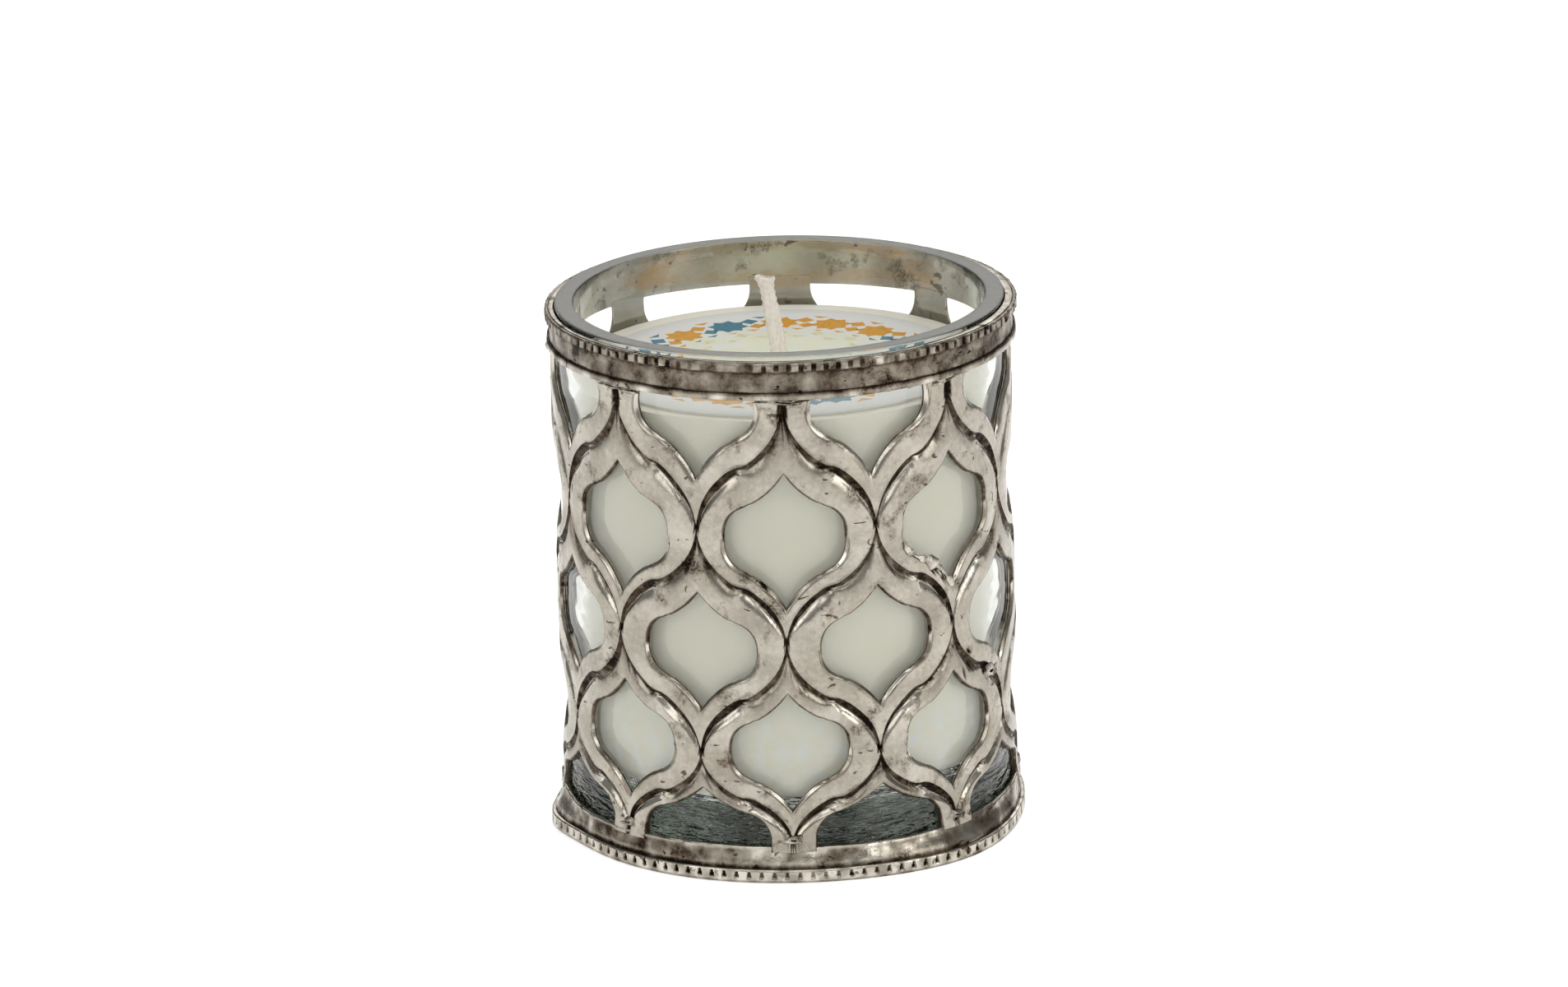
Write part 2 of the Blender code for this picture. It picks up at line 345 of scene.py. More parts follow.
def silverMaterial(name, stain, grain=1.0):
    # old white metal: patina and painted light from the piece's own attribute, smudges of fine speckle, and
    # small dark gouges
    made, nodes, link, shader = startMaterial(name)
    own = nodes.new("ShaderNodeAttribute")
    own.attribute_name = "patinaAndPaintedLight"
    cloud = objectNoise(nodes, link, 170, 5, 0.6)
    speck = objectNoise(nodes, link, 2300, 3, 0.65)
    cloudLevel = ramp(nodes, link, cloud, ((0.56, 0.0), (0.68, 1.0)))
    speckLevel = ramp(nodes, link, speck, ((0.40, 0.25), (0.62, 1.0)))
    smudge = maths(nodes, link, "MULTIPLY", maths(nodes, link, "MULTIPLY", cloudLevel, speckLevel), stain)
    grime = objectNoise(nodes, link, 900, 4, 0.65)
    grimeLevel = ramp(nodes, link, grime, ((0.30, 0.72), (0.66, 1.18)))
    worn = maths(nodes, link, "MULTIPLY", own.outputs["Fac"], grimeLevel)
    gouge = objectNoise(nodes, link, 310, 2, 0.5, (1, 1, 1.6), 0.8)
    gougeLevel = ramp(nodes, link, gouge, ((0.685, 0.0), (0.72, 0.42)))
    level = maths(nodes, link, "ADD", maths(nodes, link, "ADD", worn, smudge), gougeLevel)
    color = ramp(nodes, link, level, (
        (0.0, (0.68, 0.645, 0.585)), (0.2, (0.375, 0.35, 0.302)), (0.45, (0.205, 0.178, 0.144)),
        (0.7, (0.075, 0.053, 0.038)), (0.95, (0.012, 0.009, 0.007)),
    ))
    tint = objectNoise(nodes, link, 75, 3, 0.5)
    tintLevel = ramp(nodes, link, tint, ((0.32, (1.0, 1.0, 1.0)), (0.7, (0.90, 0.885, 0.85))))
    link(mixColor(nodes, link, 1.0, color, tintLevel, "MULTIPLY"), shader.inputs["Base Color"])
    shader.inputs["Metallic"].default_value = 1.0
    rough = ramp(nodes, link, level, ((0.0, 0.19), (0.2, 0.26), (0.5, 0.40), (0.95, 0.6)))
    smear = objectNoise(nodes, link, 260, 5, 0.65, (1, 1, 0.5))
    smearLevel = ramp(nodes, link, smear, ((0.35, 0.85), (0.7, 1.2)))
    link(maths(nodes, link, "MULTIPLY", rough, smearLevel), shader.inputs["Roughness"])
    dents = bump(nodes, link, objectNoise(nodes, link, 330, 3, 0.5), 0.00006 * grain)
    fine = bump(nodes, link, speck, 0.000012 * grain, dents)
    pits = bump(nodes, link, maths(nodes, link, "MULTIPLY", level, grime), 0.00009 * grain, fine)
    link(pits, shader.inputs["Normal"])
    return made


def solderMaterial(name, clean):
    # melted solder with grey dross in patches: clean 1 is bright, and 0 is dull
    made, nodes, link, shader = startMaterial(name)
    dross = objectNoise(nodes, link, 620, 5, 0.65)
    places = (0.30 + 0.12 * clean, 0.46 + 0.14 * clean, 0.62 + 0.12 * clean)
    tones = ((0.58, 0.55, 0.50), (0.30, 0.265, 0.22), (0.05, 0.038, 0.03))
    color = ramp(nodes, link, dross, tuple(zip(places, tones)))
    link(color, shader.inputs["Base Color"])
    shader.inputs["Metallic"].default_value = 1.0
    link(ramp(nodes, link, dross, ((0.36, 0.2), (0.72, 0.5))), shader.inputs["Roughness"])
    link(bump(nodes, link, dross, 0.00035), shader.inputs["Normal"])
    return made


def glassMaterial():
    # clear glass that greens with depth, slightly wavy, and streaked in its thick base
    made, nodes, link, shader = startMaterial("clear_glass_finish")
    shader.inputs["Base Color"].default_value = (0.99, 1.0, 0.995, 1.0)
    shader.inputs["Roughness"].default_value = 0.0
    shader.inputs["IOR"].default_value = 1.5
    shader.inputs["Transmission Weight"].default_value = 1.0
    wave = objectNoise(nodes, link, 55, 2, 0.4, (1, 1, 2.2))
    slow = bump(nodes, link, wave, 0.00035)
    low = belowHeight(nodes, link, 0.017, 0.010)
    streak = maths(nodes, link, "MULTIPLY", objectNoise(nodes, link, 110, 3, 0.5, (1, 1, 5.0)), low)
    link(bump(nodes, link, streak, 0.0016, slow), shader.inputs["Normal"])
    depth = nodes.new("ShaderNodeVolumeAbsorption")
    depth.inputs["Color"].default_value = (0.44, 0.52, 0.45, 1.0)
    depth.inputs["Density"].default_value = 37.0
    link(depth.outputs["Volume"], nodes["Material Output"].inputs["Volume"])
    return made


def waxMaterial():
    # ivory wax: faint clouds, and pale mottling low down where it has let go of the glass
    made, nodes, link, shader = startMaterial("ivory_wax_finish")
    cloud = objectNoise(nodes, link, 45, 4, 0.5)
    ivory = ramp(nodes, link, cloud, ((0.3, (0.90, 0.855, 0.71)), (0.7, (0.94, 0.90, 0.775))))
    mottle = objectNoise(nodes, link, 330, 4, 0.6)
    loose = ramp(nodes, link, mottle, ((0.46, 0.0), (0.64, 1.0)))
    amount = maths(nodes, link, "MULTIPLY", loose, belowHeight(nodes, link, 0.036, 0.024))
    color = mixColor(nodes, link, maths(nodes, link, "MULTIPLY", amount, 0.8), ivory, (0.97, 0.985, 0.95))
    link(color, shader.inputs["Base Color"])
    shader.inputs["Roughness"].default_value = 0.42
    shader.inputs["Subsurface Weight"].default_value = 0.35
    shader.inputs["Subsurface Radius"].default_value = (1.0, 0.85, 0.5)
    shader.inputs["Subsurface Scale"].default_value = 0.004
    # a painted glow: faint emission that brightens the wax as if more light reached it
    shader.inputs["Emission Color"].default_value = (1.0, 0.95, 0.82, 1.0)
    shader.inputs["Emission Strength"].default_value = 0.08
    link(bump(nodes, link, objectNoise(nodes, link, 160, 3, 0.5), 0.00012), shader.inputs["Normal"])
    return made


def cardMaterial():
    # matt card: white edge, and faint yellow-green washes inside the printed ring
    made, nodes, link, shader = startMaterial("printed_card_finish")
    where = nodes.new("ShaderNodeTexCoord")
    flat = nodes.new("ShaderNodeVectorMath")
    flat.operation = "MULTIPLY"
    flat.inputs[1].default_value = (1.0, 1.0, 0.0)
    link(where.outputs["Object"], flat.inputs[0])
    reach = nodes.new("ShaderNodeVectorMath")
    reach.operation = "LENGTH"
    link(flat.outputs["Vector"], reach.inputs[0])
    share = maths(nodes, link, "MULTIPLY", reach.outputs["Value"], 20.0)  # 1 at 50 mm from the axis
    inside = ramp(nodes, link, share, ((0.36, 1.0), (0.46, 0.25), (0.57, 0.0)))
    wash = objectNoise(nodes, link, 70, 3, 0.5)
    washColor = ramp(nodes, link, wash, (
        (0.40, (0.86, 0.89, 0.82)), (0.55, (0.87, 0.88, 0.68)), (0.68, (0.78, 0.86, 0.78)),
    ))
    fiber = objectNoise(nodes, link, 2200, 4, 0.6)
    fiberColor = ramp(nodes, link, fiber, ((0.3, (0.90, 0.91, 0.88)), (0.7, (0.94, 0.95, 0.93))))
    link(mixColor(nodes, link, inside, fiberColor, washColor), shader.inputs["Base Color"])
    shader.inputs["Roughness"].default_value = 0.55
    link(bump(nodes, link, fiber, 0.00001), shader.inputs["Normal"])
    return made


def inkMaterial(name, color):
    # flat printing ink, slightly uneven
    darker = tuple(0.82 * c for c in color)
    return speckledMaterial(name, (1200, 3, 0.5), ((0.35, darker), (0.6, color)), 0.5)


def steelMaterial():
    # plain tinned steel, a little duller in patches
    made, nodes, link, shader = startMaterial("tinned_steel_finish")
    tin = objectNoise(nodes, link, 300, 4, 0.6)
    color = ramp(nodes, link, tin, ((0.3, (0.58, 0.58, 0.58)), (0.7, (0.72, 0.72, 0.71))))
    link(color, shader.inputs["Base Color"])
    shader.inputs["Metallic"].default_value = 1.0
    link(ramp(nodes, link, tin, ((0.3, 0.3), (0.7, 0.45))), shader.inputs["Roughness"])
    return made


# the pierced sheet

# millimetres, with heights as the CAD sheet has them
sheet = {
    "radius": 40.75, "inner": 40.08, "outer": 41.15, "columns": 8,
    "low": 5.6, "high": 88.75,
    "crossings": (87.8, 64.9, 44.2, 23.5, 7.7),
    # upper point, widest place, lower point, half width
    "rows": ((74.9, 63.4, 50.8, 10.5), (53.4, 42.9, 31.6, 10.6), (34.6, 24.2, 13.0, 10.4)),
    "rimRow": (73.8, 88.5, 10.9), "footRow": (16.6, 8.2, 11.9), "backStrut": 1.2,
    "knee": (0.61, 0.50), "hollow": 0.055, "full": 0.12, "nick": 0.16,
    # by hand: shift of the crossings, and each opening's shift, stretch and lean
    "handShift": 0.28, "nudge": 0.16, "stretch": 0.012, "lean": 0.012,
    # a chased groove: width and depth at its ends, and what each of its two leaves adds
    "grooveWide": (0.55, 1.15, 1.95), "grooveDeep": (0.30, 0.26, 0.42), "wallShare": (0.60, 0.50),
    "leafStep": 0.50, "ribbonBend": 3.9,
    "edgeRaise": 0.10, "edgeReach": (0.12, 0.4), "crown": 0.13, "crownReach": 2.4, "hammer": (0.06, 0.018),
    # the lip round each opening: least width and what its lobes add, then shares of that from above and below
    "lip": (0.26, 0.24), "rimLip": (0.34, 0.40), "lipDrop": 0.52, "lipShares": (0.62, 1.2), "crease": 0.045,
    # half width, half height and depth of the pits where ribbons cross; at the rim, slots between two struts
    "pit": (0.46, 0.60, 0.62), "rimPit": (0.80, 2.7, 0.78), "rimPitHeight": 86.2,
    # pits and gouges near the seam: degrees from the front, height, half size
    "flaws": (
        (39.3, 54.3, 0.75), (42.3, 52.3, 0.40), (51.5, 34.2, 0.80), (49.2, 32.8, 0.50), (59.2, 30.0, 0.40),
        (51.2, 37.0, 0.30), (-6.0, 55.4, 0.55), (-5.0, 54.6, 0.45),
    ),
    "flawDeep": 0.4,
    # how far the struts stand out over the foot band, below the first height and fully so below the second
    "overlap": 0.42, "overlapFrom": (8.4, 7.0),
    "deepest": 0.93, "proudest": 0.15,
    # grid: steps along each quarter, and millimetres in from its ribbon line and from its opening
    "steps": 26, "fineSteps": 8, "lineSide": (0, .07, .16, .28, .42, .58, .76, .96, 1.2, 1.5, 1.85),
    "openSide": (.86, .70, .58, .47, .35, .23, .11, .04, 0), "between": 3,
    "backSteps": (1.0, 0.66, 0.33, 0.0), "stubSteps": 14, "stubShare": 0.8,
}
# patina and painted light from 0, bright, to 1, black: besides real patina, the groove walls, the leaf
# shading and the upper lips hold painted shade, and the groove flanks a painted highlight
patinaAndPaintedLight = {
    "face": 0.18, "faceRipple": 0.035, "wall": 0.72, "wallSecond": 0.14, "wallRipple": 0.12, "wallEnds": 0.12,
    "flank": 0.30, "flankSecond": 0.65, "flankRipple": 0.30, "polishAndHighlight": 0.85, "shade": 0.16, "shadeReach": 1.3,
    "line": 0.50, "shadedLipAbove": 0.66, "lipBelow": 0.20, "lipRipple": 0.20, "rimLipShare": 0.3, "crease": 0.36,
    "cutEdge": 0.75, "rear": 0.05,
}

handDice = np.random.default_rng(11)
handShifts = handDice.normal(0, sheet["handShift"], (5, sheet["columns"], 2)).clip(-0.5, 0.5)
handShifts[[0, 4]] *= 0.5  # the bands hold the ends truer


def quarterShares(count):
    # 0 to 1, closer together in the middle, where the chased leaves meet
    u = np.linspace(-1, 1, count + 1)
    return 0.5 + 0.5 * np.sign(u) * np.abs(u) ** 1.3


def crossing(row, column):
    # where four ribbons meet: an even place on the tube, and a small shift by hand
    turn = column + (0.5 if row % 2 else 0.0)
    shift = handShifts[row, column % sheet["columns"]]
    pitch = 2 * math.pi * sheet["radius"] / sheet["columns"]
    return np.array([turn * pitch + shift[0], sheet["crossings"][row] + shift[1]])


def ribbonLine(row, column, side, share):
    # the line between two ribbons, from a crossing down to the next: an S that is upright at both ends, as a
    # tanh curve, with a quick step square to it in the middle, where one chased leaf ends and the next starts
    start = crossing(row, column)
    if row % 2:
        end = crossing(row + 1, column + (1 if side > 0 else 0))
    else:
        end = crossing(row + 1, column + (0 if side > 0 else -1))
    bend = sheet["ribbonBend"]
    sway = 0.5 + 0.5 * np.tanh(bend * (share - 0.5)) / math.tanh(bend / 2)
    steep = bend / 2 * (1 - np.tanh(bend * (share - 0.5)) ** 2) / math.tanh(bend / 2)
    across, fall = (end[0] - start[0]) * steep, start[1] - end[1]
    step = sheet["leafStep"] * np.tanh((share - 0.5) / 0.03) * bell(share - 0.5, 0.17)
    step = step / np.hypot(across, fall)
    x = start[0] + (end[0] - start[0]) * sway + step * side * fall
    return np.stack([x, start[1] - fall * share + step * np.abs(across)], -1)


def openingLine(share, pointZ, levelZ, halfWidth):
    # an opening's outline from its point to its widest place: a hollow arc, a small nick, then a full arc
    rise = levelZ - pointZ
    point, side = np.array([0.0, pointZ]), np.array([halfWidth, levelZ])
    knee = np.array([sheet["knee"][0] * halfWidth, pointZ + sheet["knee"][1] * rise])

    def arc(a, b, bulge, along):
        chord = b - a
        left = np.array([-chord[1], chord[0]]) / np.hypot(*chord)
        return a + chord * along[:, None] + left * (bulge * 4 * along * (1 - along))[:, None]

    hollow = arc(point, knee, sheet["hollow"] * rise, np.clip(2 * share, 0, 1))
    full = arc(knee, side, -sheet["full"] * rise, np.clip(2 * share - 1, 0, 1))
    line = np.where((share < 0.5)[:, None], hollow, full)
    nick = sheet["nick"] * bell(share - 0.485, 0.03)
    return line + np.stack([nick * 0.3, -nick * math.copysign(1.0, rise)], -1)


def nearest(points, line):
    # each point's distance to a dense line of points, and which one is nearest
    gap = points[:, None, :] - line[None, :, :]
    squared = (gap ** 2).sum(-1)
    which = squared.argmin(1)
    return np.sqrt(squared[np.arange(len(points)), which]), which


def cellParts(row, column, share):
    # a cell's quarters in order round it, each as its stretch of ribbon line, its stretch of opening outline,
    # the shares along both, and whether it lies below its ribbon line; the half cells have two quarters
    half = row % 2
    center = (column + half / 2) * 2 * math.pi * sheet["radius"] / sheet["columns"]
    dice = np.random.default_rng(1000 + row * 50 + column % sheet["columns"])
    nudge = dice.normal(0, sheet["nudge"], 2)
    wide, tall = 1 + dice.normal(0, sheet["stretch"], 2)
    lean = dice.normal(0, sheet["lean"])
    upper = lower = None
    if row == -1:
        lower, level, halfWidth = sheet["rimRow"]
        nudge[0] += sheet["backStrut"] * ((column == 4) - (column == 3))
    elif row == 3:
        upper, level, halfWidth = sheet["footRow"]
    else:
        upper, level, lower, halfWidth = sheet["rows"][row]

    def outline(along, pointZ, side):
        line = openingLine(along, pointZ, level, halfWidth)
        x = line[:, 0] * side * wide
        z = level + (line[:, 1] - level) * tall
        return np.stack([x + lean * (z - level) + center + nudge[0], z - lean * x + nudge[1]], -1)

    back = share[::-1]
    left, right = column - 1 + half, column + half
    parts = []
    if upper is not None:
        parts.append((ribbonLine(row, column, -1, back), outline(back, upper, -1), back, back, True))
        parts.append((ribbonLine(row, column, 1, share), outline(share, upper, 1), share, share, True))
    if lower is not None:
        parts.append((ribbonLine(row + 1, right, -1, share), outline(back, lower, 1), share, back, False))
        parts.append((ribbonLine(row + 1, left, 1, back), outline(share, lower, -1), back, share, False))
    return parts


def pitFall(arc, height):
    # how far the pits go down: a soft-edged oval round each crossing, and a ragged spot at each flaw
    fall = np.zeros_like(arc)
    around = 2 * math.pi * sheet["radius"]

    def gap(middle):
        return (arc - middle + around / 2) % around - around / 2

    for row in range(len(sheet["crossings"])):
        halfWide, halfTall, deep = sheet["rimPit"] if row == 0 else sheet["pit"]
        for column in range(sheet["columns"]):
            place = crossing(row, column)
            level = sheet["rimPitHeight"] if row == 0 else place[1]
            reach = (gap(place[0]) / halfWide) ** 2 + ((height - level) / halfTall) ** 2
            fall = np.maximum(fall, deep * np.exp(-reach ** 1.6))
    for degrees, level, size in sheet["flaws"]:
        dx, dz = gap(math.radians(degrees) * sheet["radius"]), height - level
        ragged = 1 + 0.4 * np.cos(3 * np.arctan2(dz, dx) + 9 * size) + 0.25 * np.sin(9 * dx + 7 * dz)
        reach = (dx ** 2 + dz ** 2) / (size * ragged) ** 2
        fall = np.maximum(fall, sheet["flawDeep"] * np.exp(-reach ** 1.5))
    return fall


def sheetRelief(points, lineDistance, share, below, openDistance, openShare, fromAbove, lip):
    # drop below the sheet's outer face, in millimetres, and patina with painted light from 0 to 1. A chased
    # groove runs along each ribbon line on the lower ribbon's side: a wall down, dark with patina and painted
    # shade, then a flank up, made bright with polish and a painted highlight, as wide as its leaves. A
    # painted shade darkens the ribbon just past the first leaf. A lip falls to each opening, in two lobes for
    # each quarter, and the lips on the openings' upper edges are painted dark as shade. The ribbons are
    # slightly crowned and unevenly hammered.
    arc, height = points.T
    angle = arc / sheet["radius"]
    first = smooth(share / 0.36) * (1 - smooth((share - 0.455) / 0.055))
    second = smooth((share - 0.49) / 0.035) * (1 - smooth((share - 0.56) / 0.44)) ** 0.8
    uneven = 1 + 0.14 * ripple(angle, height, 6, 7.0)
    wide, deep = (
        base + (addFirst * first + addSecond * second) * uneven
        for base, addFirst, addSecond in (sheet["grooveWide"], sheet["grooveDeep"])
    )
    turn = np.where(share < 0.5, *sheet["wallShare"]) * wide
    wall = np.clip(lineDistance / turn, 0, 1)
    flank = np.clip((wide - lineDistance) / (0.97 * wide - turn), 0, 1)
    groove = np.where(below, deep * np.minimum(wall, flank ** 0.8), 0)
    edge = -sheet["edgeRaise"] * bell(lineDistance, np.where(below, *sheet["edgeReach"]))
    lobe = np.abs(np.sin(2 * np.pi * openShare)) ** 0.6
    lipWide = (lip[0] + lip[1] * lobe) * np.where(fromAbove, *sheet["lipShares"])
    inLip = np.clip((lipWide - openDistance) / lipWide, 0, 1)
    roll = sheet["lipDrop"] * inLip ** 1.25
    crease = sheet["crease"] * bell(openDistance - lipWide - 0.06, 0.10)
    crown = sheet["crown"] * (1 - smooth(np.minimum(lineDistance, openDistance) / sheet["crownReach"]))
    large, small = sheet["hammer"]
    hammer = large * ripple(angle, height, 3, 9.0) + small * ripple(angle, height, 4, 2.8)
    pit = pitFall(arc, height)
    start, full = sheet["overlapFrom"]
    overlap = sheet["overlap"] * smooth((start - height) / (start - full))
    drop = groove + edge + roll + crease + crown - hammer + pit - overlap

    face = patinaAndPaintedLight["face"] + patinaAndPaintedLight["faceRipple"] * ripple(angle, height, 8, 9.0)
    # painted dark on the groove's downward-facing wall: partly patina in the groove, partly painted shade
    inWall = np.where(below, 1 - smooth((lineDistance - turn + 0.04) / (0.14 * wide)), 0)
    wallTone = patinaAndPaintedLight["wall"] + patinaAndPaintedLight["wallSecond"] * second + patinaAndPaintedLight["wallEnds"] * (1 - first - second)
    wallTone = wallTone + patinaAndPaintedLight["wallRipple"] * ripple(angle, height, 9, 3.0)
    # the groove's upward-facing flank is painted brighter: partly polish from wear, partly a painted
    # highlight
    onFlank = smooth((lineDistance - turn) / 0.1) * smooth((1.02 * wide - lineDistance) / 0.1)
    flankTone = patinaAndPaintedLight["flank"] + patinaAndPaintedLight["flankSecond"] * second
    flankTone = flankTone + patinaAndPaintedLight["flankRipple"] * ripple(angle, height, 10, 5.0)
    onFlank = np.where(below, onFlank, 0) * flankTone.clip(0, 1)
    # painted shade: a soft darkening of the lower ribbon just past the first leaf's groove
    pastGroove = bell((lineDistance - wide).clip(0, 9), patinaAndPaintedLight["shadeReach"])
    shade = np.where(below, patinaAndPaintedLight["shade"] * first * pastGroove, 0)
    # painted shade: the lips on the openings' upper edges, turned down, are painted dark; the lower lips keep
    # about the face's tone
    lipRipple = patinaAndPaintedLight["lipRipple"] * ripple(angle, height, 12, 6.0)
    lipTone = np.where(fromAbove, patinaAndPaintedLight["shadedLipAbove"], patinaAndPaintedLight["lipBelow"] + lipRipple).clip(0, 1)
    if lip is sheet["rimLip"]:
        lipTone = lipTone * patinaAndPaintedLight["rimLipShare"]
    tone = np.maximum(face + shade, inWall * wallTone)
    tone = np.maximum(tone * (1 - patinaAndPaintedLight["polishAndHighlight"] * onFlank), patinaAndPaintedLight["line"] * bell(lineDistance, 0.10))
    tone = tone + (lipTone - tone) * smooth(inLip / 0.3)
    tone = tone + patinaAndPaintedLight["crease"] * bell(openDistance - lipWide - 0.04, 0.08)
    tone = np.maximum(tone, np.where(openDistance < 0.02, patinaAndPaintedLight["cutEdge"], 0))
    drop = np.clip(drop, -sheet["proudest"] - sheet["overlap"], sheet["deepest"])
    # the pits are painted black: patina in the crossing pits and flaws, and painted shade in the rim's slots
    # between struts
    return drop, np.maximum(tone, smooth(pit / 0.35))


def buildSheet(finish):
    # each cell is a grid from its ribbon line in to its opening, then back along the sheet's rear face
    share = quarterShares(sheet["steps"])
    finer = np.linspace(0, len(share) - 1, (len(share) - 1) * sheet["fineSteps"] + 1)
    fine = np.interp(finer, np.arange(len(share)), share)
    lineSide, openSide = np.array(sheet["lineSide"]), np.array(sheet["openSide"])
    middle = np.linspace(0, 1, sheet["between"] + 2)[1:-1]
    backSteps = np.array(sheet["backSteps"])
    stubSteps = sheet["stubSteps"]
    allPoints, allFaces, allTones, count = [], [], [], 0
    for column in range(sheet["columns"]):
        for row in (-1, 0, 1, 2, 3):
            parts, dense = cellParts(row, column, share), cellParts(row, column, fine)
            outer, inner = (np.concatenate([part[k] for part in parts]) for k in (0, 1))
            denseOuter, denseInner, lineShare, openShare = (
                np.concatenate([part[k] for part in dense]) for k in range(4)
            )
            below = np.concatenate([np.full(len(part[2]), part[4]) for part in dense])
            fromAbove, lip = below, sheet["lip"]
            if row in (-1, 3):
                # the half cells run straight on to the bands
                edge = sheet["high"] if row == -1 else sheet["low"]
                lip = sheet["rimLip"] if row == -1 else sheet["lip"]
                outer = np.vstack([[outer[0, 0], edge], outer, [outer[-1, 0], edge]])
                stub = np.linspace(0, 1, stubSteps)[:, None]
                first, last = (denseInner[k] + ([0, edge - denseInner[k, 1]]) * stub for k in (0, -1))
                inner = np.vstack([first[-1], inner, last[-1]])
                denseInner = np.vstack([denseInner, first, last])
                openShare = np.concatenate([openShare, np.full(2 * stubSteps, sheet["stubShare"])])
                fromAbove = np.concatenate([below, np.full(2 * stubSteps, row == 3)])
            width = np.hypot(*(inner - outer).T)[:, None]
            wideMiddle = width - lineSide[-1] - openSide[0]
            across = [lineSide + 0 * width, lineSide[-1] + wideMiddle * middle, width - openSide]
            across = np.hstack(across) / width
            flat = outer[:, None, :] + (inner - outer)[:, None, :] * across[:, :, None]
            flatPoints = flat.reshape(-1, 2)
            lineDistance, onLine = nearest(flatPoints, denseOuter)
            openDistance, onOpening = nearest(flatPoints, denseInner)
            drop, tone = sheetRelief(
                flatPoints, lineDistance, lineShare[onLine], below[onLine],
                openDistance, openShare[onOpening], fromAbove[onOpening], lip,
            )
            front = onCylinder(sheet["outer"] - drop, *flatPoints.T).reshape(len(outer), -1, 3)
            backFlat = outer[:, None, :] + (inner - outer)[:, None, :] * backSteps[None, :, None]
            wave = 0.04 * np.abs(ripple(backFlat[..., 0] / sheet["radius"], backFlat[..., 1], 5, 6.0))
            rear = onCylinder(sheet["inner"] + wave, backFlat[..., 0], backFlat[..., 1])
            rearTone = np.full((len(outer), len(backSteps)), patinaAndPaintedLight["rear"])
            allPoints.append(np.concatenate([front, rear], axis=1).reshape(-1, 3))
            allTones.append(np.hstack([tone.reshape(len(outer), -1), rearTone]).ravel())
            allFaces.append(gridFaces(len(outer), front.shape[1] + len(backSteps)) + count)
            count += len(allPoints[-1])
    addPiece(
        "openworkSheet", np.concatenate(allPoints) * mm, np.concatenate(allFaces), [finish], "sleeve",
        ["openwork_sheet"], np.concatenate(allTones), fill=True, sharp=35,
    )


# the sleeve's bands and wires

rim = {
    "low": 88.7, "high": 95.55, "inner": 40.15, "outer": 41.35, "shift": 0.25, "clear": 40.06, "corner": 0.22,
    "wireLow": 93.75, "wireHigh": 95.5, "wireOut": 42.05, "wireCorner": 0.4, "beads": 121, "beadDepth": 0.38,
    "plainLow": 88.75, "plainHigh": 90.1, "plainOut": 41.85, "plainCorner": 0.24,
    # where the band is deeper: degrees from the front, by how much, and over how many degrees
    "dips": ((180.0, 1.5, 55.0),),
}
foot = {
    "low": 0.0, "high": 6.75, "inner": 40.3, "outer": 41.1, "lipInner": 35.0, "lipTop": 0.9, "corner": 0.25,
    "flangeLow": 0.12, "flangeHigh": 2.55, "flangeOut": 42.2, "flangeCorner": 0.35, "teeth": 116,
    "toothDepth": 0.62,
    # places in degrees from the front, how far the foot was bent out there, and over how many degrees
    "bends": ((-79.0, 1.75, 11.0), (47.0, 1.9, 24.0), (150.0, 0.5, 30.0)),
    # the same for how far the band's upper edge dips, and for how much darker it is
    "dips": ((32.0, 0.55, 38.0), (-62.0, 0.35, 22.0)),
    "dark": ((-42.0, 0.26, 26.0), (66.0, 0.10, 20.0), (200.0, 0.12, 50.0)),
}
band = {"radiusDrift": 0.09, "heightDrift": 0.10, "inset": 0.12, "room": 0.05, "pointsPerTooth": 14}


def bandDrift(angle, height, seed):
    # slow waves in radius and height that make a hand-bent band
    radial = band["radiusDrift"] * ripple(angle, 0 * height, seed, 60.0, 6)
    return radial, band["heightDrift"] * ripple(angle, 0 * height, seed + 1, 70.0, 6)


def buildTurned(name, node, profile, count, seed, finish, shift, shape, clear=0.0):
    # a closed profile turned about the axis, changed by shape, with a slow hand-bent drift; no point comes
    # nearer to the axis than clear, under the table, or out of the CAD model's box
    radius, height, angle = turnedGrid(profile, count)
    radius, height, dark = shape(radius, height, angle)
    wander, lift = bandDrift(angle, height, seed)
    points = fromTurned(radius + wander, height + lift, angle, shift)
    points[:, :2] *= np.maximum(1, clear / np.hypot(*points[:, :2].T))[:, None]
    room = np.array(cadBox[1])[:2] / mm - band["room"]
    points[:, :2] *= np.minimum(1, (room / np.maximum(np.abs(points[:, :2]), 1)).min(1))[:, None]
    points[:, 2] = np.maximum(points[:, 2], 0)
    faces = gridFaces(*radius.shape, rowsClosed=True, columnsClosed=True)
    addPiece(name, points * mm, faces, [finish], "sleeve", [node], dark)


def milled(angle, count, gapShare):
    # 1 in each gap between teeth and 0 on each tooth, with sloping sides
    place = np.abs((angle * count / (2 * np.pi)) % 1 - 0.5) * 2
    return 1 - smooth((place - gapShare + 0.12) / 0.24)


